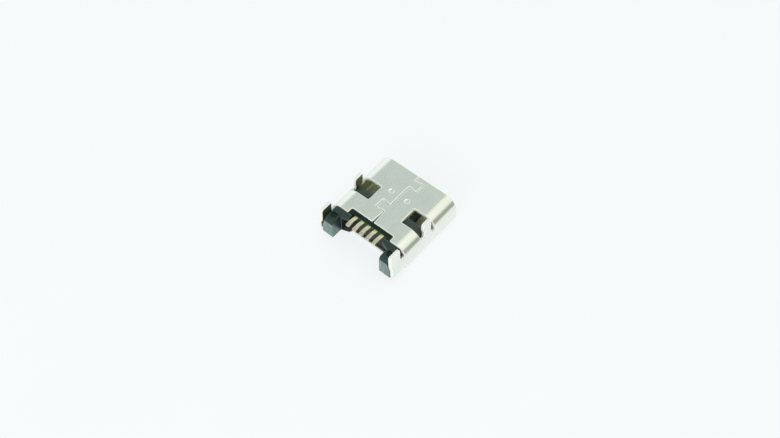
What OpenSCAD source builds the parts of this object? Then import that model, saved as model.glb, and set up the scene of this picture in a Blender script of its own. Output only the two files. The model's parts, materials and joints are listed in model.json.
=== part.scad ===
// Five-contact micro USB socket for a circuit board, with four through-hole legs.
// It lies as it would on a bench, upside down: the wide face is on the surface at z = 0,
// the seat face that meets the board is on top, and the mouth faces +Y.
// Depth is measured from the mouth towards the rear, and all sizes are in millimetres.

/* [Shell] */
// Width across the two side walls
shell_w = 7.5; // [6.25:0.01:9]
// Height from the wide face to the seat face
shell_h = 2.45; // [2:0.01:3]
// Length of the rolled tube behind the mouth
tube_l = 6.15; // [5.1:0.01:7.4]
// Thickness of the sheet metal
sheet = 0.28; // [0.23:0.01:0.34]
// Outside radius of the bends beside the seat face
seat_bend_r = 1.14; // [0.95:0.01:1.4]
// Outside radius of the bends beside the wide face
wide_bend_r = 0.5; // [0.45:0.01:0.6]
// Length of the notch in the rear edge of the seat face
notch_l = 0.5; // [0.4:0.01:0.6]
// Space beside the row of contacts in that notch
notch_side = 0.6; // [0.5:0.01:0.72]
// Corner radius of the punched openings
punch_r = 0.12; // [0.08:0.01:0.15]

/* [Seam] */
// Gap of the butt seam
seam_gap = 0.05; // [0.02:0.01:0.08]
// Depth of the middle of the front key
front_key_d = 0.92; // [0.8:0.01:1.1]
// Depth of the middle of the rear key
rear_key_d = 3.95; // [3.4:0.01:4.4]
// How far a key reaches across the seam
key_reach = 0.78; // [0.6:0.01:0.95]
// Length of a key at the seam
key_neck = 0.68; // [0.55:0.01:0.82]
// Length of a key at its far end
key_head = 1; // [0.9:0.01:1.2]
// Corner radius of a key
key_r = 0.1; // [0.05:0.01:0.12]

/* [Dimples and latch slots] */
// Distance of each dimple from the middle
dimple_x = 0.78; // [0.65:0.01:0.95]
// Depth of the dimples behind the mouth
dimple_d = 2.5; // [2.1:0.01:2.9]
// Radius of a dimple on the seat face
dimple_r = 0.22; // [0.18:0.01:0.26]
// How deep a dimple is pressed
dimple_press = 0.07; // [0.05:0.01:0.09]
// Distance of each latch slot's middle from the middle of the wide face
latch_x = 2.1; // [1.75:0.01:2.5]
// Depth of the latch slots behind the mouth
latch_d = 0.7; // [0.6:0.01:0.8]
// Width of a latch slot
latch_w = 1; // [0.8:0.01:1.2]
// Length of a latch slot
latch_l = 0.75; // [0.6:0.01:0.9]

/* [Windows and legs] */
// Depth of the windows behind the mouth
window_d = 2.64; // [2.2:0.01:3.2]
// Length of a window
window_l = 1.61; // [1.5:0.01:1.8]
// Distance of each window's inner edge from the middle
window_x = 1.65; // [1.35:0.01:2]
// Slit between a window's front edge and its leg
leg_slit = 0.35; // [0.3:0.01:0.4]
// Width of a front leg
leg_w = 0.82; // [0.68:0.01:0.88]
// How far the legs stand above the seat face
leg_reach = 0.7; // [0.55:0.01:0.85]
// Height above the flat side wall at which the windows and the rear slits end
slit_rise = 0.57; // [0.48:0.01:0.65]
// Height above the flat side wall at which the front slits end
front_slit_rise = 0.19; // [0.15:0.01:0.3]
// How far the legs stand proud of the bend at their roots
leg_proud = 0.015; // [0.01:0.005:0.02]
// How far the legs run down into the bend
leg_root = 0.08; // [0.06:0.01:0.1]
// Angle at which the legs lean inwards
leg_lean = 2; // [0.5:0.5:4]
// How far the barb stands out from a front leg
barb = 0.1; // [0.08:0.01:0.13]
// Height of the barb between its two slopes
barb_h = 0.32; // [0.26:0.01:0.38]
// Height of each of those slopes
barb_slope = 0.33; // [0.28:0.01:0.38]
// Slit between the tube's rear edge and a rear leg
rear_slit = 0.5; // [0.42:0.01:0.6]
// Radius of the fillet between that slit and the rear leg
rear_slit_r = 0.2; // [0.1:0.01:0.24]
// Width of a rear leg
rear_leg_w = 1.1; // [0.92:0.01:1.3]
// Height of a rear leg's lower edge above the wide face
rear_leg_z = 0.75; // [0.62:0.01:0.9]
// Bevel at the tips of the legs
tip_bevel = 0.12; // [0.08:0.01:0.15]

/* [Housing] */
// Depth of the block's front face behind the mouth
block_d = 3.35; // [2.8:0.01:4]
// Length of the bar in the shell's notch, up to the face the solder tails leave
bar_l = 0.35; // [0.3:0.01:0.42]
// Bevel along the block's front edge
block_bevel = 0.2; // [0.12:0.01:0.24]
// Depth of the tongue's tip behind the mouth
tongue_d = 1; // [0.83:0.01:1.2]
// Thickness of the tongue
tongue_t = 0.6; // [0.5:0.01:0.72]
// Distance from the seat face to the tongue's contact face
tongue_drop = 0.95; // [0.8:0.01:1.14]
// Width of plastic beside the row of contacts on the tongue
tongue_side = 0.39; // [0.3:0.01:0.46]
// Corner radius at the tongue's tip
tongue_r = 0.35; // [0.25:0.01:0.42]
// Bevel at the tongue's tip
tongue_bevel = 0.15; // [0.1:0.01:0.18]

/* [Rear blocks] */
// Width of each rear block
rear_block_w = 1.04; // [0.87:0.01:1.25]
// How far the rear blocks lie inside the sides of the block in front of them
rear_set_in = 0.06; // [0.05:0.01:0.08]
// How far the rear blocks stop short of the rear legs
rear_block_short = 0.3; // [0.25:0.01:0.36]
// Space between the row of solder tails and the shelf on each side
tail_side = 0.2; // [0.15:0.01:0.24]
// How far that shelf reaches behind the tube
shelf_l = 0.12; // [0.1:0.01:0.15]
// Length of the slanted wall from the shelf to the rear block
slant_l = 0.45; // [0.38:0.01:0.54]
// How far the rear blocks' tops lie below the seat face
rear_top_drop = 0.15; // [0.1:0.01:0.2]
// How far the bevel round the top narrows each rear block
rear_bevel_in = 0.24; // [0.18:0.01:0.28]
// Height of that bevel
rear_bevel_h = 0.68; // [0.55:0.01:0.8]
// Radius of the round recess on each rear block
recess_r = 0.2; // [0.16:0.01:0.24]
// Depth of that recess
recess_h = 0.12; // [0.08:0.01:0.15]

/* [Contacts] */
// Distance from one contact to the next
pitch = 0.65; // [0.55:0.01:0.78]
// Width of a contact
contact_w = 0.32; // [0.26:0.01:0.39]
// Thickness of a contact
contact_t = 0.15; // [0.12:0.01:0.18]
// How far the contacts stand proud of the tongue
contact_proud = 0.03; // [0.01:0.01:0.05]
// How far the nose of a contact dips into the tongue
nose_dip = 0.2; // [0.15:0.01:0.24]
// Length of that nose
nose_l = 0.3; // [0.25:0.01:0.36]
// Distance from the tongue's tip to the nose
nose_back = 0.15; // [0.12:0.01:0.18]
// Length over which a contact rises inside the housing
rise_l = 0.55; // [0.46:0.01:0.66]
// Distance from the notch's front edge to the top of that rise
rise_back = 0.2; // [0.16:0.01:0.24]
// Length of a solder tail behind the housing
tail_l = 1.15; // [0.96:0.01:1.38]
// Length of the flat foot of a solder tail
foot_l = 0.6; // [0.5:0.01:0.72]
// Length of straight strip between the housing and the tail's bend
tail_straight = 0.1; // [0.08:0.01:0.12]
// How far below the seat face the tails leave the housing
tail_drop = 0.2; // [0.17:0.01:0.24]
// Radius of the contacts' bends, at the middle of the strip
strip_bend_r = 0.18; // [0.15:0.01:0.22]

/* [Fits] */
// Gap between the housing and the shell
fit = 0.03; // [0.02:0.01:0.04]
// Gap between a contact and the plastic round it
insert_gap = 0.01; // [0.01:0.005:0.02]
// How far the plastic lies inside the shell's outer faces
flush = 0.04; // [0.02:0.01:0.06]

/* [Hidden] */
$fn = 48;
contact_count = 5;
bend_steps = 6;
spill = 0.2;

seat = shell_h;
half_w = shell_w / 2;
overall_l = tube_l + rear_slit + rear_leg_w;

row_half = (contact_count - 1) / 2 * pitch + contact_w / 2;
notch_half = row_half + notch_side;
notch_d = tube_l - notch_l;

bend_start = seat - seat_bend_r;
slit_z = bend_start + slit_rise;
leg_d = window_d + leg_slit;
bend_x = half_w - seat_bend_r;
root_out = bend_x + sqrt(pow(seat_bend_r, 2) - pow(slit_rise, 2));
root_in = bend_x + sqrt(pow(seat_bend_r - sheet, 2) - pow(slit_rise, 2));
leg_tip = seat + leg_reach;
rear_leg_d = tube_l + rear_slit;

dimple_ball_r = (dimple_r * dimple_r + dimple_press * dimple_press) / (2 * dimple_press);

web_d = notch_d + bar_l;
rear_front = tube_l + fit;
tongue_top = seat - tongue_drop;
tongue_half = row_half + tongue_side;
rear_gap = fit + rear_set_in;
rear_block_out = half_w - sheet - rear_gap;
rear_top_out = root_in - rear_gap;
rear_block_in = rear_block_out - rear_block_w;
rear_block_d = overall_l - rear_block_short;
rear_top = seat - rear_top_drop;
shelf_x = row_half + tail_side;
shelf_d = rear_front + shelf_l;
slant_d = shelf_d + slant_l;
recess_x = (rear_block_in + rear_bevel_in + rear_top_out) / 2;
recess_d = (rear_front + rear_block_d - rear_bevel_in) / 2;

// Points and paths

function unit(v) = v / norm(v);

function turned(v, angle) = [
    v[0] * cos(angle) - v[1] * sin(angle),
    v[0] * sin(angle) + v[1] * cos(angle)
];

// Points of the arc of radius r that rounds the corner p between a and b
function arc_points(a, p, b, r) =
    let (
        u = unit(a - p),
        v = unit(b - p),
        half = acos(u * v) / 2,
        centre = p + unit(u + v) * r / sin(half),
        start = p + u * r / tan(half) - centre,
        sense = sign(v[0] * u[1] - v[1] * u[0])
    )
    [for (i = [0 : bend_steps]) centre + turned(start, sense * (180 - 2 * half) * i / bend_steps)];

// A path with each of its corners rounded to radius r
function rounded(path, r) = [
    path[0],
    for (i = [1 : len(path) - 2]) each arc_points(path[i - 1], path[i], path[i + 1], r),
    path[len(path) - 1]
];

// A path's edge at a distance to its left
function edge_of(path, distance) = [
    for (i = [0 : len(path) - 1])
        let (
            last = len(path) - 1,
            before = i > 0 ? unit(path[i] - path[i - 1]) : unit(path[1] - path[0]),
            after = i < last ? unit(path[i + 1] - path[i]) : before,
            heading = unit(before + after)
        )
        path[i] + turned(heading, 90) * distance / (heading * after)
];

// Outline of a strip of one width along a path
function ribbon(path, width) = let (far = edge_of(path, -width / 2)) [
    each edge_of(path, width / 2),
    for (i = [len(far) - 1 : -1 : 0]) far[i]
];

// Where a leg's outer face lies across the width, at height z
function leg_face(z) = root_out + leg_proud - (z - slit_z) * tan(leg_lean);

// The seam's path beside one dovetail key, in width and depth
function key_path(middle, side) = [
    [0, middle - key_neck / 2],
    [side * key_reach, middle - key_head / 2],
    [side * key_reach, middle + key_head / 2],
    [0, middle + key_neck / 2]
];

// Middle line of a contact, in depth and height, longer by a gap at its nose
function contact_path(gap) =
    let (
        strip_z = tongue_top + contact_proud - contact_t / 2,
        foot_z = seat - contact_t / 2,
        exit_z = seat - tail_drop,
        nose_d = tongue_d + nose_back,
        rise_end = notch_d + rise_back,
        tail_end = web_d + tail_l
    )
    rounded([
        [nose_d - gap, strip_z - nose_dip],
        [nose_d + nose_l, strip_z],
        [rise_end - rise_l, strip_z],
        [rise_end, exit_z],
        [web_d + tail_straight, exit_z],
        [tail_end - foot_l, foot_z],
        [tail_end, foot_z]
    ], strip_bend_r);

// Placing and shared shapes

// Moves the mouth-based model so that the object's middle is over the origin
module placed() {
    translate([0, overall_l / 2, 0])
        children();
}

module both_sides() {
    children();
    mirror([1, 0, 0])
        children();
}

// A section drawn in width and height, between two depths
module along(from, to) {
    translate([0, -from, 0])
        rotate([90, 0, 0])
            linear_extrude(to - from)
                children();
}

// A profile drawn in depth and height, between two places across the width
module across(from, to) {
    translate([to, 0, 0])
        rotate([90, 0, -90])
            linear_extrude(to - from)
                children();
}

// A plan drawn in width and depth, between two heights
module upward(from, to) {
    translate([0, 0, from])
        mirror([0, 1, 0])
            linear_extrude(to - from)
                children();
}

// What a round of radius r takes off the corner at the origin
module corner(r) {
    difference() {
        translate([-spill, -spill])
            square(r + spill);
        translate([r, r])
            circle(r);
    }
}

// A rectangle from the origin with its two lower corners rounded
module round_foot(l, h, r) {
    difference() {
        square([l, h]);
        corner(r);
        translate([l, 0])
            mirror([1, 0, 0])
                corner(r);
    }
}

// The shell's section, moved inwards all round
module tube_section(inset) {
    half = half_w - inset;
    difference() {
        translate([-half, inset])
            square([2 * half, shell_h - 2 * inset]);
        both_sides() {
            translate([-half, inset])
                corner(wide_bend_r - inset);
            translate([half, shell_h - inset])
                rotate(180)
                    corner(seat_bend_r - inset);
        }
    }
}

// Shell: one piece of sheet metal, blanked, then rolled to a tube

module shell() {
    color("silver")
        placed()
            difference() {
                union() {
                    difference() {
                        along(0, overall_l)
                            difference() {
                                tube_section(0);
                                tube_section(sheet);
                            }
                        rear_space();
                        seam();
                        notch();
                        both_sides() {
                            window();
                            latch_slot();
                        }
                    }
                    both_sides() {
                        front_leg();
                        rear_leg();
                        dimple_back();
                    }
                }
                both_sides()
                    dimple();
            }
}

// The space behind the tube, above and below the walls that carry the rear legs
module rear_space() {
    across(-half_w - spill, half_w + spill) {
        translate([tube_l, slit_z])
            square([overall_l, shell_h]);
        polygon([
            [tube_l, -spill],
            [tube_l, rear_leg_z],
            [overall_l - tip_bevel, rear_leg_z],
            [overall_l, rear_leg_z + tip_bevel],
            [overall_l + spill, rear_leg_z + tip_bevel],
            [overall_l + spill, -spill]
        ]);
    }
}

// The butt seam, with one key reaching to each side
module seam() {
    path = [
        [0, -spill],
        each key_path(front_key_d, 1),
        each key_path(rear_key_d, -1),
        [0, notch_d + spill]
    ];
    upward(seat - sheet - spill, seat + spill)
        polygon(ribbon(rounded(path, key_r), seam_gap));
}

// The rear notch that the housing's bar fills
module notch() {
    upward(seat - sheet - spill, seat + spill)
        translate([-notch_half, notch_d])
            round_foot(2 * notch_half, notch_l + spill, punch_r);
}

// A window from the seat face over the bend, with a slit further down in front of its leg
module window() {
    intersection() {
        across(window_x, half_w + spill) {
            translate([window_d, slit_z])
                round_foot(window_l, seat_bend_r + spill, punch_r);
            translate([window_d, bend_start + front_slit_rise])
                round_foot(leg_slit, seat_bend_r, punch_r);
        }
        upward(0, seat + spill)
            translate([window_x, window_d + window_l])
                rotate(-90)
                    round_foot(window_l, shell_w, punch_r);
    }
}

// A slot in the wide face that takes a plug's latch
module latch_slot() {
    upward(-spill, sheet + spill)
        translate([latch_x - latch_w / 2, latch_d])
            square([latch_w, latch_l]);
}

// A leg that stands up from the bend in a window, with a barb on its rear edge
module front_leg() {
    front = leg_d;
    rear = leg_d + leg_w;
    barb_top = leg_tip - barb_slope;
    intersection() {
        leg_slab();
        across(0, shell_w) {
            polygon([
                [front, 0],
                [rear, 0],
                [rear, barb_top - barb_h - barb_slope],
                [rear + barb, barb_top - barb_h],
                [rear + barb, barb_top],
                [rear, leg_tip],
                [front + tip_bevel, leg_tip],
                [front, leg_tip - tip_bevel]
            ]);
            translate([rear, slit_z])
                corner(punch_r);
        }
    }
}

// A leg that stands up from the wall behind the tube
module rear_leg() {
    front = rear_leg_d;
    rear = overall_l;
    intersection() {
        leg_slab();
        across(0, shell_w) {
            polygon([
                [front, 0],
                [rear, 0],
                [rear, leg_tip - tip_bevel],
                [rear - tip_bevel, leg_tip],
                [front + tip_bevel, leg_tip],
                [front, leg_tip - tip_bevel]
            ]);
            translate([front, slit_z])
                mirror([1, 0, 0])
                    corner(rear_slit_r);
        }
    }
}

// The sheet of the legs over the whole length, leaning inwards
module leg_slab() {
    low = slit_z - leg_root;
    high = leg_tip + spill;
    level = sheet / cos(leg_lean);
    along(0, overall_l)
        polygon([
            [leg_face(low), low],
            [leg_face(high), high],
            [leg_face(high) - level, high],
            [leg_face(low) - level, low]
        ]);
}

// The dent of a dimple on the seat face
module dimple() {
    translate([dimple_x, -dimple_d, seat - dimple_press + dimple_ball_r])
        sphere(dimple_ball_r);
}

// The bulge that the dimple leaves on the inside
module dimple_back() {
    reach = dimple_ball_r + sheet;
    intersection() {
        translate([dimple_x, -dimple_d, seat - dimple_press + dimple_ball_r])
            sphere(reach);
        translate([dimple_x - reach, -dimple_d - reach, seat - sheet - reach])
            cube([2 * reach, 2 * reach, reach + dimple_press]);
    }
}

// Housing: one moulding, with the contacts set in it

module housing() {
    color([0.16, 0.18, 0.18])
        placed()
            difference() {
                union() {
                    block();
                    tongue();
                    bar();
                    both_sides()
                        rear_block();
                }
                tail_recess();
                for (i = [1 : contact_count])
                    contact_strip(i, insert_gap);
            }
}

// The block that fills the rear of the shell
module block() {
    top = seat - sheet - fit;
    difference() {
        along(block_d, shelf_d)
            tube_section(sheet + fit);
        across(-half_w, half_w)
            polygon([
                [block_d - spill, top - block_bevel - spill],
                [block_d + block_bevel + spill, top + spill],
                [block_d - spill, top + spill]
            ]);
    }
}

// The tongue that the plug slides over
module tongue() {
    intersection() {
        across(-tongue_half, tongue_half)
            polygon([
                [tongue_d, tongue_top - tongue_t + tongue_bevel],
                [tongue_d + tongue_bevel, tongue_top - tongue_t],
                [block_d + spill, tongue_top - tongue_t],
                [block_d + spill, tongue_top],
                [tongue_d + tongue_bevel, tongue_top],
                [tongue_d, tongue_top - tongue_bevel]
            ]);
        upward(0, seat)
            translate([-tongue_half, tongue_d])
                round_foot(2 * tongue_half, block_d + spill - tongue_d, tongue_r);
    }
}

// The bar in the shell's notch, level with the seat face
module bar() {
    rear = rear_front + shelf_l / 2;
    upward(tongue_top, seat - flush)
        translate([-notch_half + fit, notch_d + fit])
            round_foot(2 * (notch_half - fit), rear - notch_d - fit, punch_r);
}

// The space that is open behind the bar for the solder tails
module tail_recess() {
    upward(0, seat)
        translate([-shelf_x, web_d])
            square([2 * shelf_x, tube_l]);
}

// A corner block behind the shell, bevelled round its top, with a round recess
module rear_block() {
    plan = [
        [shelf_x, rear_front],
        [rear_block_out, rear_front],
        [rear_block_out, rear_block_d],
        [rear_block_in, rear_block_d],
        [rear_block_in, slant_d],
        [shelf_x, shelf_d]
    ];
    difference() {
        upward(flush, rear_top)
            polygon(plan);
        above_bevel(plan[2], plan[3]);
        intersection() {
            above_bevel(plan[3], plan[4]);
            above_bevel(plan[4], plan[5]);
        }
        leg_space();
        translate([recess_x, -recess_d, rear_top - recess_h])
            cylinder(h = recess_h + spill, r = recess_r);
    }
}

// The space that the bend and the rear leg need beside a rear block
module leg_space() {
    along(0, overall_l)
        polygon([
            [rear_block_out, bend_start],
            [rear_top_out, slit_z],
            [rear_top_out, seat],
            [shell_w, seat],
            [shell_w, bend_start]
        ]);
}

// The space above the bevel that starts from one edge of a rear block's plan
module above_bevel(from, to) {
    run = to - from;
    reach = shell_h;
    climb = reach * rear_bevel_h / rear_bevel_in;
    mirror([0, 1, 0])
        translate([from[0], from[1], rear_top - rear_bevel_h])
            rotate(atan2(run[1], run[0]))
                rotate([90, 0, 90])
                    translate([0, 0, -reach])
                        linear_extrude(norm(run) + 2 * reach)
                            polygon([[-reach, -climb], [reach, climb], [-reach, climb]]);
}

// Contacts: five stamped strips

module contact_strip(i, gap) {
    middle = (i - (contact_count + 1) / 2) * pitch;
    half = contact_w / 2 + gap;
    across(middle - half, middle + half)
        polygon(ribbon(contact_path(gap), contact_t + 2 * gap));
}

module contact(i) {
    color([0.87, 0.8, 0.55])
        placed()
            contact_strip(i, 0);
}

shell();
housing();
for (i = [1 : contact_count])
    contact(i);
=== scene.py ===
import json
import math

import bmesh
import bpy
from mathutils import Matrix, Vector
from mathutils.geometry import delaunay_2d_cdt


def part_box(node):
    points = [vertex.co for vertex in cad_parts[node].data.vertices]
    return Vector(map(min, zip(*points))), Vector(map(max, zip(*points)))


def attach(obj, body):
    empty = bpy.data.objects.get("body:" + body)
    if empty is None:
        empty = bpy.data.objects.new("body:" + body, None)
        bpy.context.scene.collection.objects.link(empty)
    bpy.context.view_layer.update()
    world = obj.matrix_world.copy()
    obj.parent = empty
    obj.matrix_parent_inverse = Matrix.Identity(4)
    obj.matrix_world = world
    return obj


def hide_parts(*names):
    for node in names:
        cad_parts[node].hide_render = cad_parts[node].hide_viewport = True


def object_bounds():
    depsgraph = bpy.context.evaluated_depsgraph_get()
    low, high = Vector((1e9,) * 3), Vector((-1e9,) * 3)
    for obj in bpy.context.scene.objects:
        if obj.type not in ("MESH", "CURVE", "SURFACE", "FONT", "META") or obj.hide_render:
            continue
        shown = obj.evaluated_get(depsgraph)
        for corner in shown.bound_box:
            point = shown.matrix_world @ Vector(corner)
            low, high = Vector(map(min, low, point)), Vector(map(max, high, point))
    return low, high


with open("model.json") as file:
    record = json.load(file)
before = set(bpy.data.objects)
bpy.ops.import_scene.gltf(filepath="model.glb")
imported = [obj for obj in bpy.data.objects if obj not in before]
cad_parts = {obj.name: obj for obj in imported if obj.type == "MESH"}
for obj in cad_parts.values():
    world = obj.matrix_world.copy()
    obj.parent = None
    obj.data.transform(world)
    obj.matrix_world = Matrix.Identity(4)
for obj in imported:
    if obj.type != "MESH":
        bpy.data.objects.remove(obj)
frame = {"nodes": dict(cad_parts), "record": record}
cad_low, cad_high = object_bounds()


# Insulator: one injection moulding in black glass-filled plastic. The shell is rolled round its block,
# its bar fills the shell's rear notch, and two corner blocks stand behind the shell beside the tails,
# each with an ejector mark in its top and a pocket on its inner side.

MM = 0.001
mouth_y = cad_high.y / MM
half_w = cad_high.x / MM
overall_l = (cad_high.y - cad_low.y) / MM
mounts = {m["name"]: Vector(m["pos_m"]) / MM for m in frame["record"]["mounts"]}
seat = mounts["board_seat"].z

sheet = 0.28
fit = 0.03
flush = 0.04
tube_l = 6.15
seat_bend_r = 1.14
wide_bend_r = 0.5
notch_l = 0.5
notch_half = 2.06
punch_r = 0.12
slit_rise = 0.57

block_front = 3.35
block_bevel = 0.2
web_d = 6.0
shelf_x = 1.66
shelf_d = 6.3
slant_d = 6.75
slant_in_d = 6.5
rear_block_in = 2.34
rear_block_d = 7.7
rear_block_low = 0.45
rear_block_top = 2.3
rear_bevel_in = 0.16
rear_bevel_h = 0.3
rear_set_in = 0.06
recess_x = 2.8
recess_d = 6.93
recess_r = 0.29
recess_h = 0.12
recess_lip = 0.04
pocket_in = 1.46
pocket_out = 2.24
pocket_low = 0.5
pocket_top = 1.92
pocket_front = 5.2
tongue_d = 1.0
tongue_t = 0.6
tongue_top = 1.5
tongue_half = 1.85
tongue_tip_r = 0.35
tongue_bevel = 0.15
moulded_edge = 0.025

arc_steps = 6
bend_steps = 5
circle_steps = 32
weld = 0.0005
straight_half = math.radians(89.9)
flat_angle = math.radians(1)
sharp_angle = math.radians(25)
cramped_share = 1.2

bend_z = seat - seat_bend_r
block_top = seat - sheet - fit


def place(x, d, z):
    """A point at width x, depth d behind the mouth and height z."""
    return Vector((x, mouth_y - d, z))


def arc(a, p, b, r, steps):
    """Points of the arc of radius r that rounds the corner p between a and b."""
    u = (a - p).normalized()
    v = (b - p).normalized()
    half = u.angle(v) / 2
    if r == 0 or half > straight_half:
        return [p.copy()]
    centre = p + (u + v).normalized() * r / math.sin(half)
    start = p + u * r / math.tan(half) - centre
    turn = math.copysign(math.pi - 2 * half, v.x * u.y - v.y * u.x) / steps
    return [centre + Matrix.Rotation(turn * i, 2) @ start for i in range(steps + 1)]


def rounded_loop(corners, steps=arc_steps):
    """A closed outline from corners given as (first, second, radius)."""
    points = [Vector(c[:2]) for c in corners]
    loop = []
    for i, corner in enumerate(corners):
        loop += arc(points[i - 1], points[i], points[(i + 1) % len(points)], corner[2], steps)
    return loop


def circle_points(middle, r):
    """Points of a circle round a middle point."""
    turns = [2 * math.pi * i / circle_steps for i in range(circle_steps)]
    return [middle + Vector((math.cos(a), math.sin(a))) * r for a in turns]


def object_from(name, bm):
    """An object made from a bmesh in millimetres."""
    bmesh.ops.recalc_face_normals(bm, faces=bm.faces)
    mesh = bpy.data.meshes.new(name)
    bm.to_mesh(mesh)
    bm.free()
    piece = bpy.data.objects.new(name, mesh)
    bpy.context.scene.collection.objects.link(piece)
    return piece


def loft(name, rings):
    """A closed solid through rings of points."""
    bm = bmesh.new()
    rows = [[bm.verts.new(point) for point in ring] for ring in rings]
    count = len(rows[0])
    for lower, upper in zip(rows, rows[1:]):
        for i in range(count):
            bm.faces.new((lower[i], lower[(i + 1) % count], upper[(i + 1) % count], upper[i]))
    bm.faces.new(rows[0][::-1])
    bm.faces.new(rows[-1])
    return object_from(name, bm)


def upright(name, plan, heights):
    """A solid with one plan of widths and depths from its lowest height to its highest."""
    return loft(name, [[place(x, d, z) for x, d in plan] for z in heights])


def crosswise(name, profile, half):
    """A solid with one profile of depths and heights over the whole width."""
    return loft(name, [[place(x, d, z) for d, z in profile] for x in (-half, half)])


def soften(piece, edge):
    """Rounds a piece's sharp edges, apart from those that end at an edge too short to round."""
    bm = bmesh.new()
    bm.from_mesh(piece.data)
    flat = [e for e in bm.edges if e.calc_face_angle() < flat_angle]
    bmesh.ops.dissolve_edges(bm, edges=flat, use_verts=True)
    cramped = {v for e in bm.edges if e.calc_length() < cramped_share * edge for v in e.verts}
    sharp = [
        e for e in bm.edges
        if e.calc_face_angle() > sharp_angle and not cramped.intersection(e.verts)
    ]
    bmesh.ops.bevel(
        bm, geom=sharp, offset=edge, segments=2, profile=0.5, affect="EDGES", clamp_overlap=True,
    )
    bm.to_mesh(piece.data)
    bm.free()


def combine(piece, other, operation):
    """Joins another solid to a piece or cuts it away, and removes the other."""
    step = piece.modifiers.new(operation, "BOOLEAN")
    step.operation = operation
    step.solver = "EXACT"
    step.object = other
    graph = bpy.context.evaluated_depsgraph_get()
    made = bpy.data.meshes.new_from_object(piece.evaluated_get(graph))
    bm = bmesh.new()
    bm.from_mesh(made)
    bmesh.ops.remove_doubles(bm, verts=bm.verts, dist=weld)
    bm.to_mesh(made)
    bm.free()
    piece.modifiers.clear()
    piece.data = made
    bpy.data.objects.remove(other)


def tube_outline(inset):
    """The shell's section moved inwards, as points of width and height."""
    half = half_w - inset
    low = wide_bend_r - inset
    high = seat_bend_r - inset
    return rounded_loop([
        (-half, inset, low),
        (half, inset, low),
        (half, seat - inset, high),
        (-half, seat - inset, high),
    ], bend_steps)


def above_slope(start, end, within, foot_z, inset, rise):
    """The space above a slope that climbs inwards from one edge of a plan, with a point within it."""
    run = (end - start).normalized()
    inwards = Vector((-run.y, run.x))
    inwards *= math.copysign(1, inwards.dot(within - start))
    climb = seat * rise / inset
    profile = [(-seat, foot_z - climb), (seat, foot_z + climb), (-seat, foot_z + climb)]
    ends = (start - run * seat, end + run * seat)
    return loft("slope", [[place(*(corner + inwards * t), z) for t, z in profile] for corner in ends])


def round_recess(middle):
    """The cutter for a round ejector mark with a flared lip."""
    rings = (
        (recess_r, rear_block_top - recess_h),
        (recess_r, rear_block_top - recess_lip),
        (recess_r + 2 * recess_lip, rear_block_top + recess_lip),
    )
    return loft("recess", [[place(*p, z) for p in circle_points(middle, r)] for r, z in rings])


def rear_block(side):
    """One corner block, bevelled at its rear, set in beside the bend and the leg, with an ejector mark."""
    gap = fit + rear_set_in
    bend_x = half_w - seat_bend_r
    out = half_w - sheet - gap
    top_out = bend_x + math.sqrt((seat_bend_r - sheet) ** 2 - slit_rise ** 2) - gap
    front = tube_l + fit / 2
    inner = [(rear_block_in, slant_d), (shelf_x, slant_in_d), (shelf_x - punch_r, slant_in_d)]
    rear_edge = [(out, rear_block_d), (rear_block_in, rear_block_d)]
    front_edge = [(shelf_x - punch_r, front), (out, front)]
    plan = [Vector((side * x, d)) for x, d in front_edge + rear_edge + inner]
    outer = (1, 2)
    top = [Vector((side * top_out, p.y)) if i in outer else p for i, p in enumerate(plan)]
    rings = (
        (plan, rear_block_low), (plan, bend_z), (top, bend_z + slit_rise), (top, rear_block_top),
    )
    block = loft("rear_block", [[place(*p, z) for p in ring] for ring, z in rings])
    middle = Vector((side * recess_x, recess_d))
    bevel_foot = rear_block_top - rear_bevel_h
    bevel = above_slope(plan[2], plan[3], middle, bevel_foot, rear_bevel_in, rear_bevel_h)
    combine(block, bevel, "DIFFERENCE")
    combine(block, round_recess(middle), "DIFFERENCE")
    return block


def tongue():
    """The tongue, bevelled along its front edge and rounded at the corners of its tip."""
    rear = block_front + block_bevel
    low = tongue_top - tongue_t
    tip = tongue_d + tongue_bevel
    profile = [
        (tongue_d, low + tongue_bevel), (tip, low), (rear, low),
        (rear, tongue_top), (tip, tongue_top), (tongue_d, tongue_top - tongue_bevel),
    ]
    plan = rounded_loop([
        (-tongue_half, tongue_d, tongue_tip_r), (tongue_half, tongue_d, tongue_tip_r),
        (tongue_half, 2 * rear, 0), (-tongue_half, 2 * rear, 0),
    ])
    solid = crosswise("tongue", profile, half_w)
    combine(solid, upright("tongue_plan", plan, (0, seat)), "INTERSECT")
    return solid


def moulding():
    """The block with its bar, its corner blocks, the space for the tails, the pockets and the tongue."""
    body = loft(
        "insulator",
        [[place(x, d, z) for x, z in tube_outline(sheet + fit)] for d in (block_front, shelf_d)],
    )
    slope = [
        (block_front - block_bevel, block_top - 2 * block_bevel),
        (block_front + 2 * block_bevel, block_top + block_bevel),
        (block_front - block_bevel, block_top + block_bevel),
    ]
    combine(body, crosswise("slope", slope, half_w), "DIFFERENCE")
    bar_half = notch_half - fit
    bar_front = tube_l - notch_l + fit
    bar_rear = tube_l + 2 * fit
    bar_plan = rounded_loop([
        (-bar_half, bar_front, punch_r), (bar_half, bar_front, punch_r),
        (bar_half, bar_rear, 0), (-bar_half, bar_rear, 0),
    ])
    combine(body, upright("bar", bar_plan, (tongue_top, seat - flush)), "UNION")
    for side in (-1, 1):
        combine(body, rear_block(side), "UNION")
    tails = [(-shelf_x, web_d), (shelf_x, web_d), (shelf_x, overall_l), (-shelf_x, overall_l)]
    combine(body, upright("tail_space", tails, (-seat, 2 * seat)), "DIFFERENCE")
    for side in (-1, 1):
        near, far = side * pocket_in, side * pocket_out
        pocket = [(near, pocket_front), (far, pocket_front), (far, slant_d), (near, slant_d)]
        combine(body, upright("pocket", pocket, (pocket_low, pocket_top)), "DIFFERENCE")
    combine(body, tongue(), "UNION")
    soften(body, moulded_edge)
    return body


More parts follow.
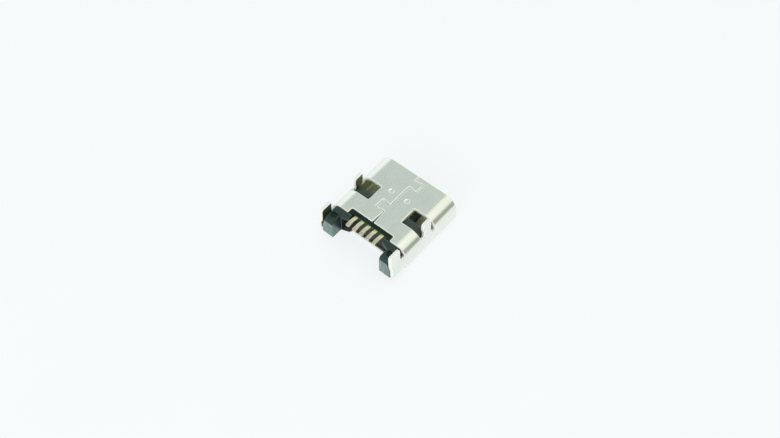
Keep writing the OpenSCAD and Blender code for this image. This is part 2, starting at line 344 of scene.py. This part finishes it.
def new_finish(name):
    """A material with its node tree, its shader and its place in metres on the object."""
    material = bpy.data.materials.new(name)
    material.use_nodes = True
    tree = material.node_tree
    shader = tree.nodes["Principled BSDF"]
    where = tree.nodes.new("ShaderNodeTexCoord").outputs["Object"]
    return material, tree, shader, where


def noise(tree, vector, stretch, **settings):
    """A noise with its own scale along X, Y and Z, in features per millimetre."""
    mapping = tree.nodes.new("ShaderNodeMapping")
    mapping.inputs["Scale"].default_value = Vector(stretch) / MM
    node = tree.nodes.new("ShaderNodeTexNoise")
    tree.links.new(vector, mapping.inputs["Vector"])
    tree.links.new(mapping.outputs["Vector"], node.inputs["Vector"])
    node.inputs["Scale"].default_value = 1
    for key, value in settings.items():
        node.inputs[key.title()].default_value = value
    return node.outputs["Fac"]


def ramp(tree, factor, low, high, start=0.0, end=1.0):
    """A smooth change from one number or colour to another as a factor goes from start to end."""
    is_colour = not isinstance(low, (int, float))
    scale = tree.nodes.new("ShaderNodeMapRange")
    scale.interpolation_type = "SMOOTHSTEP"
    scale.inputs["From Min"].default_value = start
    scale.inputs["From Max"].default_value = end
    tree.links.new(factor, scale.inputs["Value"])
    if not is_colour:
        scale.inputs["To Min"].default_value = low
        scale.inputs["To Max"].default_value = high
        return scale.outputs["Result"]
    mix = tree.nodes.new("ShaderNodeMix")
    mix.data_type = "RGBA"
    tree.links.new(scale.outputs["Result"], mix.inputs["Factor"])
    for socket, colour in (("A", low), ("B", high)):
        target = next(s for s in mix.inputs if s.name == socket and s.type == "RGBA")
        if isinstance(colour, bpy.types.NodeSocket):
            tree.links.new(colour, target)
        else:
            target.default_value = (*colour, 1)
    return next(s for s in mix.outputs if s.type == "RGBA")


def split(tree, vector):
    """The X, Y and Z of a vector."""
    node = tree.nodes.new("ShaderNodeSeparateXYZ")
    tree.links.new(vector, node.inputs["Vector"])
    return node.outputs


def along(tree, vector, heading):
    """How far a vector reaches along a heading."""
    node = tree.nodes.new("ShaderNodeVectorMath")
    node.operation = "DOT_PRODUCT"
    node.inputs[1].default_value = heading
    tree.links.new(vector, node.inputs[0])
    return node.outputs["Value"]


def worked_out(tree, operation, first, second):
    """What a sum, a product or a comparison makes of two factors."""
    node = tree.nodes.new("ShaderNodeMath")
    node.operation = operation
    tree.links.new(first, node.inputs[0])
    tree.links.new(second, node.inputs[1])
    return node.outputs["Value"]


def relief(tree, shader, height, depth):
    """Fine relief of a given depth in millimetres, on top of any relief the shader has."""
    bump = tree.nodes.new("ShaderNodeBump")
    bump.inputs["Distance"].default_value = depth * MM
    tree.links.new(height, bump.inputs["Height"])
    normal = shader.inputs["Normal"]
    if normal.is_linked:
        tree.links.new(normal.links[0].from_socket, bump.inputs["Normal"])
    tree.links.new(bump.outputs["Normal"], normal)


deep_black = (0.005, 0.014, 0.0115)
flow_black = (0.013, 0.027, 0.023)
# Painted reflection: the two streaked greys of the blocks' rear and inner walls, and the darker grey of
# their rear bevels.
painted_reflection_dark = (0.158, 0.223, 0.208)
painted_reflection_pale = (0.26, 0.36, 0.336)
bevel_painted_grey = (0.04, 0.062, 0.055)
# Painted light: a lighter grey for the plastic inside the shell, and a grey for the corner blocks' tops
# against which the ejector marks stay dark as painted shade.
inside_painted_grey = (0.06, 0.085, 0.074)
top_painted_grey = (0.035, 0.06, 0.052)
black_tint = (0.85, 1.0, 0.94)
black_specular = 0.18
flow_span = (0.35, 0.7)
grain_rough = (0.32, 0.46)
grain_depth = 0.006
grain_span = (0.3, 0.7)
bevel_facing = (-0.89, -0.8)
wall_facing = (-0.99, -0.95)
top_facing = (0.5, 0.7)
inner_wall_share = (0.98, 0.94)
fade_below = 0.5
fade_above = 0.3


def walls_with_painted_reflection(tree, where, facing, point, black):
    """The colour of the upright faces: a streaked painted reflection on the blocks' rear walls and on the
    lower rear part of their inner walls, and a darker painted grey on their rear bevels.
    """
    reflection_streaks = noise(tree, where, (9, 9, 0.8), detail=4)
    painted_reflection = ramp(tree, reflection_streaks, painted_reflection_dark, painted_reflection_pale, *grain_span)
    # The rear bevels get a darker painted grey and the rear walls the streaked painted reflection.
    bevel_painted = ramp(tree, facing["Y"], bevel_painted_grey, black, *bevel_facing)
    rear_walls_painted = ramp(tree, facing["Y"], painted_reflection, bevel_painted, *wall_facing)
    # The inner walls carry the painted reflection only below a line that climbs towards the rear, where
    # they mirror the pale floor; above that line they stay black.
    fade = (rear_block_top - rear_block_low) / (rear_block_d - slant_d)
    fade_line = rear_block_low + fade * (mouth_y - slant_d)
    fade_span = ((fade_line - fade_below) * MM, (fade_line + fade_above) * MM)
    inner_painted_reflection = ramp(tree, along(tree, where, (0, fade, 1)), painted_reflection, black, *fade_span)
    inwards = worked_out(tree, "MULTIPLY", facing["X"], point["X"])
    inner_span = [share * -rear_block_in * MM for share in inner_wall_share]
    walls_painted = ramp(tree, inwards, inner_painted_reflection, rear_walls_painted, *inner_span)
    return ramp(tree, point["Y"], walls_painted, black, (mouth_y - shelf_d) * MM, (mouth_y - web_d) * MM)


def tops_with_painted_light(tree, point, black):
    """The colour of the upper faces: painted lighter grey inside the shell and on top of the corner
    blocks, with the floors of the ejector marks left black as painted shade.
    """
    recess_z = rear_block_top - recess_h
    # Painted light inside the shell and on the corner blocks' tops; the ejector marks' floors stay black
    # as painted shade.
    inside_painted = ramp(tree, point["Z"], inside_painted_grey, black, block_top * MM, recess_z * MM)
    with_painted_light = ramp(tree, point["Z"], inside_painted, top_painted_grey, recess_z * MM, rear_block_top * MM)
    return ramp(tree, point["Z"], with_painted_light, black, rear_block_top * MM, (seat - flush) * MM)


def moulded_black():
    """Black glass-filled plastic: fine grain and grey flow marks, with painted reflection on the blocks'
    walls and painted light on the upper faces.
    """
    material, tree, shader, where = new_finish("moulded_black")
    flow = noise(tree, where, (1.2, 4, 2.5), detail=5, distortion=0.6)
    grain = noise(tree, where, (28, 28, 28), detail=3)
    facing = split(tree, tree.nodes.new("ShaderNodeNewGeometry").outputs["True Normal"])
    point = split(tree, where)
    black = ramp(tree, flow, deep_black, flow_black, *flow_span)
    walls_painted = walls_with_painted_reflection(tree, where, facing, point, black)
    colour = ramp(tree, facing["Z"], walls_painted, tops_with_painted_light(tree, point, black), *top_facing)
    tree.links.new(colour, shader.inputs["Base Color"])
    tree.links.new(ramp(tree, grain, *grain_rough, *grain_span), shader.inputs["Roughness"])
    shader.inputs["Specular IOR Level"].default_value = black_specular
    shader.inputs["Specular Tint"].default_value = (*black_tint, 1)
    relief(tree, shader, grain, grain_depth)
    return material


smooth_angle = math.radians(50)


def install(piece, node, finish):
    """Brings a finished piece to metres and puts it in the place of its solid."""
    piece.data.transform(Matrix.Scale(MM, 4))
    piece.data.materials.clear()
    piece.data.materials.append(finish)
    piece.data.shade_smooth()
    piece.data.set_sharp_from_angle(angle=smooth_angle)
    piece.modifiers.new("flat_faces", "WEIGHTED_NORMAL").keep_sharp = True
    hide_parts(node)
    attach(piece, "root")


install(moulding(), "housing", moulded_black())


# Contacts: five strips stamped from copper alloy and plated with a thin flash of gold.
# They lie in the tongue's face, run through the block and leave it as solder tails level with the seat.

contact_t = 0.15
contact_proud = 0.03
contact_edge = 0.025
contact_end_share = 0.2
contact_edge_steps = 3
nose_back = 0.15
nose_l = 0.3
nose_dip = 0.2
rise_l = 0.55
rise_back = 0.2
tail_drop = 0.2
tail_straight = 0.1
tail_l = 1.15
foot_l = 0.6
strip_bend_r = 0.18
strip_bend_steps = 8


def rounded_line(corners, r, steps):
    """An open line through corners that are rounded to one radius."""
    line = [corners[0]]
    for a, p, b in zip(corners, corners[1:], corners[2:]):
        line += arc(a, p, b, r, steps)
    return line + [corners[-1]]


def contact_line():
    """Middle line of a contact from its nose to its foot, as points of depth and height."""
    strip_z = tongue_top + contact_proud - contact_t / 2
    foot_z = seat - contact_t / 2
    exit_z = seat - tail_drop
    nose_d = tongue_d + nose_back
    rise_end = tube_l - notch_l + rise_back
    tail_end = web_d + tail_l
    corners = [Vector(p) for p in (
        (nose_d, strip_z - nose_dip), (nose_d + nose_l, strip_z), (rise_end - rise_l, strip_z),
        (rise_end, exit_z), (web_d + tail_straight, exit_z), (tail_end - foot_l, foot_z),
        (tail_end, foot_z),
    )]
    return rounded_line(corners, strip_bend_r, strip_bend_steps)


def strip(name, middle_x, width, line, thickness, edge):
    """A strip with rounded edges and ends along a line."""
    headings = [(b - a).normalized() for a, b in zip(line, line[1:])]
    rings = []
    for i, point in enumerate(line):
        before = headings[max(i - 1, 0)]
        after = headings[min(i, len(headings) - 1)]
        heading = (before + after).normalized()
        rings.append((point, Vector((-heading.y, heading.x)) / heading.dot(after), 0))
    first, last = rings[0], rings[-1]
    rings[0] = (first[0] + headings[0] * edge, first[1], 0)
    rings[-1] = (last[0] - headings[-1] * edge, last[1], 0)
    rings = [(*first[:2], edge)] + rings + [(*last[:2], edge)]
    half = width / 2
    solid = []
    for point, across, inset in rings:
        w = half - inset
        t = thickness / 2 - inset
        r = max(edge - inset, contact_end_share * edge)
        section = rounded_loop([(-w, -t, r), (w, -t, r), (w, t, r), (-w, t, r)], contact_edge_steps)
        solid.append([place(middle_x + q.x, *(point + across * q.y)) for q in section])
    return loft(name, solid)


foot_gold = (0.75, 0.7, 0.54)
# Painted highlight: the brighter, yellower gold of the tails near the plastic.
root_painted_highlight = (0.82, 0.92, 0.46)
dull_gold = (0.62, 0.56, 0.38)
tarnish_span = (0.25, 0.5)
drawn_rough = (0.36, 0.5)
drawn_depth = 0.003


def gold_flash():
    """Thin gold over nickel: pale on the feet, with a painted highlight, yellower and brighter, towards
    where the strip leaves the plastic.
    """
    material, tree, shader, where = new_finish("gold_flash")
    root_y = (mouth_y - web_d - tail_straight) * MM
    foot_y = (mouth_y - web_d - tail_l + foot_l) * MM
    # A painted highlight runs from the pale feet up to the roots of the tails.
    gold_with_painted_highlight = ramp(tree, split(tree, where)["Y"], foot_gold, root_painted_highlight, foot_y, root_y)
    tarnish = noise(tree, where, (5, 3, 5), detail=4)
    tree.links.new(ramp(tree, tarnish, dull_gold, gold_with_painted_highlight, *tarnish_span), shader.inputs["Base Color"])
    shader.inputs["Metallic"].default_value = 1
    drawn = noise(tree, where, (45, 2, 45), detail=3)
    tree.links.new(ramp(tree, drawn, *drawn_rough, *grain_span), shader.inputs["Roughness"])
    relief(tree, shader, drawn, drawn_depth)
    return material


gold = gold_flash()
for name in sorted(n for n in frame["nodes"] if n.startswith("contact_")):
    low, high = (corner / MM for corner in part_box(name))
    middle_x = (low.x + high.x) / 2
    piece = strip(name + "_strip", middle_x, high.x - low.x, contact_line(), contact_t, contact_edge)
    install(piece, name, gold)


# Shell: one blank of nickel-plated steel, punched flat with its windows, slots, legs and seam keys,
# then rolled round the insulator until the keys meet; the legs stay standing when the tube is bent.

rear_slit = 0.5
rear_slit_r = 0.2
rear_leg_z = 0.75
seam_gap = 0.05
seam_spread = 0.06
front_key_d = 0.92
rear_key_d = 3.95
key_reach = 0.78
key_neck = 0.68
key_head = 1.0
key_r = 0.1
window_d = 2.64
window_l = 1.61
window_x = 1.65
leg_slit = 0.35
front_slit_rise = 0.19
leg_w = 0.82
leg_lean = math.radians(2)
leg_bend_r = 0.15
barb = 0.1
barb_h = 0.32
barb_slope = 0.33
tip_bevel = 0.12
tip_r = 0.08
latch_x = 2.1
latch_d = 0.7
latch_w = 1.0
latch_l = 0.75
dimple_x = 0.78
dimple_d = 2.5
dimple_r = 0.22
dimple_lip = 0.06
dimple_press = 0.032
dimple_steepness = 8
dimple_lip_share = 0.06
dimple_ring_shares = (0.2, 0.4, 0.6, 0.8, 1.0)
sheet_edge = 0.07
sheet_edge_h = 0.055
inner_edge = 0.02
edge_strip = 0.05
edge_steps = 4
bend_lines = 18
leg_bend_lines = 3
same_point = 1e-6
tube_inside = 1
leg_inside = 0.8
edge_inside = 0.5

leg_tip = cad_high.z / MM
notch_d = tube_l - notch_l
rear_leg_d = tube_l + rear_slit
leg_d = window_d + leg_slit
leg_rear = leg_d + leg_w
window_rear = window_d + window_l

wide_flat = half_w - wide_bend_r
wide_bend_end = wide_flat + wide_bend_r * math.pi / 2
side_end = wide_bend_end + bend_z - wide_bend_r
seat_start = side_end + seat_bend_r * math.pi / 2
seam_s = seat_start + half_w - seat_bend_r
window_s = seam_s - window_x
slit_angle = math.asin(slit_rise / seat_bend_r)
slit_s = side_end + seat_bend_r * slit_angle
front_slit_s = side_end + seat_bend_r * math.asin(front_slit_rise / seat_bend_r)
leg_bend_l = leg_bend_r * (slit_angle - leg_lean)
leg_bend_h = leg_bend_r * (math.sin(slit_angle) - math.sin(leg_lean))
leg_s = slit_s + leg_bend_l + (leg_tip - bend_z - slit_rise - leg_bend_h) / math.cos(leg_lean)


def rolled(run):
    """Where a run from the middle of the wide face ends on the tube: width, height and outward normal."""
    if run < wide_flat:
        return run, 0, 0, -1
    if run < wide_bend_end:
        a = (run - wide_flat) / wide_bend_r
        x = wide_flat + wide_bend_r * math.sin(a)
        return x, wide_bend_r * (1 - math.cos(a)), math.sin(a), -math.cos(a)
    if run < side_end:
        return half_w, wide_bend_r + run - wide_bend_end, 1, 0
    if run < seat_start:
        a = (run - side_end) / seat_bend_r
        x = half_w - seat_bend_r * (1 - math.cos(a))
        return x, bend_z + seat_bend_r * math.sin(a), math.cos(a), math.sin(a)
    return half_w - seat_bend_r - (run - seat_start), seat, 0, 1


def standing(run):
    """Where a run ends on a leg, which is straightened out of the bend and leans in."""
    x, z, _, _ = rolled(slit_s)
    turned = min(run - slit_s, leg_bend_l)
    a = slit_angle - turned / leg_bend_r
    rest = run - slit_s - turned
    x -= leg_bend_r * (math.cos(a) - math.cos(slit_angle)) + rest * math.sin(a)
    z += leg_bend_r * (math.sin(slit_angle) - math.sin(a)) + rest * math.cos(a)
    return x, z, math.cos(a), math.sin(a)


def on_leg(s, d):
    """True where a point of the blank lies on one of the four legs."""
    beside_window = window_d + leg_slit / 2 < d < (leg_rear + barb + window_rear) / 2
    behind_tube = d > (tube_l + rear_leg_d) / 2
    return slit_s < abs(s) < leg_s + sheet and (beside_window or behind_tube)


def on_shell(s, d, h):
    """A point of the blank, at s round the tube, d behind the mouth and h above its face, once rolled."""
    x, z, out_x, out_z = standing(abs(s)) if on_leg(s, d) else rolled(abs(s))
    side = math.copysign(1, s)
    return place(side * (x + out_x * h), d, z + out_z * h)


def dent(s, d):
    """How far the two dimples, each with a faint lip, press the sheet in at a point of the blank."""
    r = math.hypot(abs(s) - seam_s + dimple_x, d - dimple_d)
    if r >= dimple_r + dimple_lip:
        return 0
    bowl = 1 - (r / dimple_r) ** dimple_steepness
    lip = dimple_lip_share * (1 - max(r - dimple_r, 0) / dimple_lip) ** 2
    return dimple_press * max(bowl, lip)


def moved_left(line, distance, closed):
    """A line moved to its left by a distance, with mitred corners."""
    moved = []
    last = len(line) - 1
    for i, point in enumerate(line):
        before = point - line[i - 1] if closed or i > 0 else line[1] - point
        after = line[(i + 1) % len(line)] - point if closed or i < last else before
        heading = (before.normalized() + after.normalized()).normalized()
        left = Vector((-heading.y, heading.x))
        moved.append(point + left * distance / heading.dot(after.normalized()))
    return moved


def seam_line():
    """The seam from the mouth to the notch, in width and depth, with one key to each side."""
    corners = [Vector((0, 0))]
    for middle, side in ((front_key_d, 1), (rear_key_d, -1)):
        corners += [
            Vector((0, middle - key_neck / 2)), Vector((side * key_reach, middle - key_head / 2)),
            Vector((side * key_reach, middle + key_head / 2)), Vector((0, middle + key_neck / 2)),
        ]
    corners.append(Vector((0, notch_d)))
    return rounded_line(corners, key_r, arc_steps)


def blank_edge():
    """The corners of the blank's outline: one edge of the seam, the rear with its legs, the other edge."""
    low_s = wide_bend_end + rear_leg_z - wide_bend_r
    notch_s = seam_s - notch_half
    right_rear = [
        (notch_s, notch_d, punch_r), (notch_s, tube_l, tip_r), (slit_s, tube_l, tip_r),
        (slit_s, rear_leg_d, rear_slit_r), (leg_s - tip_bevel, rear_leg_d, tip_r),
        (leg_s, rear_leg_d + tip_bevel, tip_r), (leg_s, overall_l - tip_bevel, tip_r),
        (leg_s - tip_bevel, overall_l, tip_r), (low_s + tip_bevel, overall_l, tip_r),
        (low_s, overall_l - tip_bevel, tip_r), (low_s, tube_l, tip_r),
    ]
    left_rear = [(-s, d, r) for s, d, r in reversed(right_rear)]
    seam = seam_line()
    right_edge = [Vector((seam_s - p.x, p.y)) for p in moved_left(seam, -seam_gap / 2, False)]
    left_edge = [Vector((-seam_s - p.x, p.y)) for p in moved_left(seam, seam_gap / 2, False)]
    right_edge[-1].x -= seam_spread
    left_edge[-1].x += seam_spread
    corners = [(p.x, p.y, 0) for p in right_edge] + right_rear + left_rear
    return corners + [(p.x, p.y, 0) for p in reversed(left_edge)]


def blank_holes():
    """The corners of the windows, each with a front leg in it, and of the latch slots."""
    barb_s = leg_s - barb_slope
    barb_foot_s = barb_s - barb_h - barb_slope
    window = [
        (front_slit_s, window_d, punch_r), (window_s, window_d, punch_r),
        (window_s, window_rear, punch_r), (slit_s, window_rear, punch_r),
        (slit_s, leg_rear, punch_r), (barb_foot_s, leg_rear, tip_r),
        (barb_s - barb_h, leg_rear + barb, tip_r), (barb_s, leg_rear + barb, tip_r),
        (leg_s, leg_rear, tip_r), (leg_s, leg_d + tip_bevel, tip_r),
        (leg_s - tip_bevel, leg_d, tip_r), (front_slit_s, leg_d, punch_r),
    ]
    latch_in = latch_x - latch_w / 2
    latch_out = latch_x + latch_w / 2
    slot = [
        (latch_in, latch_d, tip_r), (latch_out, latch_d, tip_r),
        (latch_out, latch_d + latch_l, tip_r), (latch_in, latch_d + latch_l, tip_r),
    ]
    holes = []
    for hole in (window, slot):
        holes += [hole[::-1], [(-s, d, r) for s, d, r in hole]]
    return holes


def inside(point, loops):
    """True where a point lies on the sheet and in none of its holes."""
    crossings = 0
    for loop in loops:
        for a, b in zip(loop, loop[1:] + loop[:1]):
            if (a.y > point.y) != (b.y > point.y):
                crossings += point.x < a.x + (point.y - a.y) * (b.x - a.x) / (b.y - a.y)
    return crossings % 2 == 1


def flat_sheet(loops):
    """Triangles of the blank, split along the bends and round the dimples: points and index triples."""
    points, edges = [], []

    def add(line, closed):
        first = len(points)
        points.extend(line)
        edges.extend((first + i, first + i + 1) for i in range(len(line) - 1))
        if closed:
            edges.append((len(points) - 1, first))

    for loop in loops:
        add(loop, True)
        add(moved_left(loop, edge_strip, True), True)
    bends = (
        (wide_flat, wide_bend_end, bend_lines),
        (side_end, seat_start, bend_lines),
        (slit_s, slit_s + leg_bend_l, leg_bend_lines),
    )
    for start, end, count in bends:
        for i in range(count + 1):
            s = start + (end - start) * i / count
            for side in (-1, 1):
                add([Vector((side * s, -sheet)), Vector((side * s, overall_l + sheet))], False)
    lip_r = dimple_r + dimple_lip
    for side in (-1, 1):
        middle = Vector((side * (seam_s - dimple_x), dimple_d))
        for r in [share * dimple_r for share in dimple_ring_shares] + [lip_r, lip_r + edge_strip]:
            add(circle_points(middle, r), True)
    flat, _, faces, *_ = delaunay_2d_cdt(points, edges, [], 0, same_point)
    kept = [f for f in faces if inside(sum((flat[i] for i in f), Vector((0, 0))) / len(f), loops)]
    return flat, kept


def boundary_lines(faces):
    """The closed lines round a set of triangles, with the triangles on the left."""
    sides = {(a, b) for f in faces for a, b in zip(f, f[1:] + f[:1])}
    follow = {a: b for a, b in sides if (b, a) not in sides}
    lines = []
    while follow:
        line = [next(iter(follow))]
        while line[-1] in follow:
            line.append(follow.pop(line[-1]))
        lines.append(line[:-1])
    return lines


def rolled_shell():
    """The blank given its thickness and rounded edges, and rolled to the tube."""
    outlines = [rounded_loop(corners) for corners in [blank_edge()] + blank_holes()]
    flat, faces = flat_sheet([moved_left(loop, sheet_edge, True) for loop in outlines])
    bm = bmesh.new()
    rim = bm.verts.layers.float.new("rim")
    inner = bm.verts.layers.float.new("inner")

    def vertex(p, h, on_rim, on_inner):
        made = bm.verts.new(on_shell(p.x, p.y, h))
        made[rim] = on_rim
        made[inner] = on_inner
        return made

    top, under = {}, {}
    for i in sorted({i for f in faces for i in f}):
        top[i] = vertex(flat[i], -dent(*flat[i]), 0, 0)
    for i in top:
        inside_share = leg_inside if on_leg(*flat[i]) else tube_inside
        under[i] = vertex(flat[i], -sheet - dent(*flat[i]), 0, inside_share)
    for a, b, c in faces:
        bm.faces.new((top[a], top[b], top[c]))
        bm.faces.new((under[c], under[b], under[a]))
    steps = [math.pi / 2 * (k + 1) / edge_steps for k in range(edge_steps)]
    for line in boundary_lines([tuple(f) for f in faces]):
        points = [flat[i] for i in line]
        rows = [[top[i] for i in line]]
        for a in steps:
            ring = moved_left(points, -sheet_edge * math.sin(a), True)
            rows.append([vertex(p, -sheet_edge_h * (1 - math.cos(a)), 1, 0) for p in ring])
        for a in reversed(steps):
            ring = moved_left(points, -sheet_edge * math.sin(a), True)
            rows.append([vertex(p, -sheet + inner_edge * (1 - math.cos(a)), 1, edge_inside) for p in ring])
        rows.append([under[i] for i in line])
        for lower, upper in zip(rows, rows[1:]):
            for i in range(len(line)):
                bm.faces.new((lower[i], lower[i - 1], upper[i - 1], upper[i]))
    return object_from("shell_sheet", bm)


nickel_dark = (0.85, 0.88, 0.83)
nickel_pale = (0.89, 0.91, 0.86)
# Painted highlight: the near-white of the rough sheared edges.
edge_painted_highlight = (0.97, 0.98, 0.93)
# A darker olive for the inner face of the sheet.
inner_olive = (0.57, 0.6, 0.43)
wave_span = (0.35, 0.65)
edge_span = (0.0, 0.6)
olive_span = (0.5, 0.75)
dull_span = (0.7, 1.0)
edge_metal = (1.0, 0.2)
satin_rough = (0.24, 0.28)
dull_rough = (0.0, 0.3)
rolling_depth = 0.0002
wave_depth = 0.004


def marked(tree, mark):
    """The value that the blank's points carry under a name."""
    node = tree.nodes.new("ShaderNodeAttribute")
    node.attribute_name = mark
    return node.outputs["Fac"]


def nickel_plate():
    """Satin nickel over rolled steel: faint rolling lines, rough sheared edges painted near-white as a
    painted highlight, and a darker olive, duller inner face.
    """
    material, tree, shader, where = new_finish("nickel_plate")
    wave = noise(tree, where, (0.9, 0.7, 0.9), detail=4)
    lines = noise(tree, where, (30, 1.2, 30), detail=4)
    rim = marked(tree, "rim")
    inner = marked(tree, "inner")
    plain = ramp(tree, wave, nickel_dark, nickel_pale, *wave_span)
    # The sheared edges are painted near-white as a painted highlight.
    with_painted_light = ramp(tree, rim, plain, edge_painted_highlight, *edge_span)
    # The inner face turns a darker olive.
    olive_inside = ramp(tree, inner, with_painted_light, inner_olive, *olive_span)
    tree.links.new(olive_inside, shader.inputs["Base Color"])
    tree.links.new(ramp(tree, rim, *edge_metal, *edge_span), shader.inputs["Metallic"])
    satin = ramp(tree, lines, *satin_rough, *grain_span)
    dulled = worked_out(tree, "ADD", satin, ramp(tree, inner, *dull_rough, *dull_span))
    tree.links.new(dulled, shader.inputs["Roughness"])
    relief(tree, shader, lines, rolling_depth)
    relief(tree, shader, wave, wave_depth)
    return material


install(rolled_shell(), "shell", nickel_plate())


# Surface and backdrop: one sheet of matt near-white board. The socket lies on it, on its wide face,
# and the sheet runs out of the picture on all sides.

floor_half = 600
floor_mesh = bpy.data.meshes.new("floor")
floor_corners = [Vector((x, y, 0)) * floor_half * MM for x, y in ((-1, -1), (1, -1), (1, 1), (-1, 1))]
floor_mesh.from_pydata(floor_corners, [], [(0, 1, 2, 3)])
floor = bpy.data.objects.new("floor", floor_mesh)
bpy.context.scene.collection.objects.link(floor)

board_dark = (0.945, 0.977, 0.985)
board_pale = (0.958, 0.986, 0.993)
even_share = 0.82


def pale_sheet():
    """Matt board with a trace of mottle, evenly pale to the eye and in the metal, with a faint shadow."""
    material, tree, shader, where = new_finish("pale_sheet")
    mottle = noise(tree, where, (0.08, 0.08, 0.08), detail=3)
    pale = ramp(tree, mottle, board_dark, board_pale)
    tree.links.new(pale, shader.inputs["Base Color"])
    shader.inputs["Roughness"].default_value = 0.9
    shader.inputs["Specular IOR Level"].default_value = 0.1
    even = tree.nodes.new("ShaderNodeEmission")
    tree.links.new(pale, even.inputs["Color"])
    ray = tree.nodes.new("ShaderNodeLightPath")
    seen = ray.outputs["Is Camera Ray"]
    for kind in ("Is Glossy Ray", "Is Transmission Ray"):
        seen = worked_out(tree, "MAXIMUM", seen, ray.outputs[kind])
    mix = tree.nodes.new("ShaderNodeMixShader")
    tree.links.new(ramp(tree, seen, 0.0, even_share), mix.inputs["Fac"])
    tree.links.new(shader.outputs["BSDF"], mix.inputs[1])
    tree.links.new(even.outputs["Emission"], mix.inputs[2])
    tree.links.new(mix.outputs["Shader"], tree.nodes["Material Output"].inputs["Surface"])
    return material


floor_mesh.materials.append(pale_sheet())


# Light: a pale tent all round, greyer where the seat face mirrors it, white where the bends do, and dark
# low on the right and above the rear. One soft lamp hangs over the socket and one stands behind its tails.
# Each patch of the tent has its direction, the cosines of its outer and inner edge, and its colour.

tent_pale = (0.88, 0.9, 0.89)
seat_grey = ((-0.34, 0.5, 0.79), 0.9, 0.975, (0.53, 0.6, 0.57))
left_white = ((-0.9, 0.44, 0.1), 0.8, 0.97, (1.0, 1.02, 1.03))
upper_white = ((0.3, 0.44, 0.85), 0.8, 0.95, (1.0, 1.01, 0.9))
right_dark = ((0.87, 0.48, 0.14), 0.87, 0.97, (0.32, 0.36, 0.26))
rear_dark = ((-0.25, -0.5, 0.83), 0.78, 0.94, (0.3, 0.34, 0.3))
lamp_warm = (1.0, 0.99, 0.95)

world = bpy.data.worlds.new("tent")
world.use_nodes = True
bpy.context.scene.world = world
tree = world.node_tree
background = tree.nodes["Background"]
background.inputs["Strength"].default_value = 1
direction = tree.nodes.new("ShaderNodeTexCoord").outputs["Generated"]
tent = tent_pale
for heading, outer, inner, colour in (seat_grey, left_white, upper_white, right_dark, rear_dark):
    towards = along(tree, direction, Vector(heading).normalized())
    tent = ramp(tree, ramp(tree, towards, 0.0, 1.0, outer, inner), tent, colour)
tree.links.new(tent, background.inputs["Color"])


def soft_lamp(name, position, size, power):
    """A square lamp in millimetres and watts that faces the socket."""
    data = bpy.data.lights.new(name, "AREA")
    data.shape = "SQUARE"
    data.size = size * MM
    data.energy = power
    data.color = lamp_warm
    lamp = bpy.data.objects.new(name, data)
    lamp.location = Vector(position) * MM
    lamp.rotation_euler = (-lamp.location).to_track_quat("-Z", "Y").to_euler()
    bpy.context.scene.collection.objects.link(lamp)


soft_lamp("top_lamp", (30, 10, 160), 90, 0.008)
soft_lamp("rear_lamp", (30, -120, 60), 60, 0.04)


# Camera: above and behind the socket, as the photograph is taken, looking at the middle of the socket.
# Its length of lens is a guess, and its angles, distance and aim are fitted to the photograph with it.

azimuth = math.radians(39.87)
elevation = math.radians(54.98)
roll = math.radians(0.13)
distance = 78.4
aim = Vector((-0.03, 0.295, 0.54))
focal_px = 1000
picture_px = 780

camera_data = bpy.data.cameras.new("camera")
camera_data.sensor_width = 36
camera_data.lens = focal_px / picture_px * camera_data.sensor_width
camera_data.clip_start = 0.001
camera_data.clip_end = 10
camera = bpy.data.objects.new("camera", camera_data)
back = Vector((
    math.sin(azimuth) * math.cos(elevation),
    -math.cos(azimuth) * math.cos(elevation),
    math.sin(elevation),
))
level = (-back).to_track_quat("-Z", "Y").to_matrix()
camera.rotation_euler = (level @ Matrix.Rotation(roll, 3, "Z")).to_euler()
camera.location = (aim + back * distance) * MM
bpy.context.scene.collection.objects.link(camera)
bpy.context.scene.camera = camera
bpy.context.scene.view_settings.view_transform = "Standard"
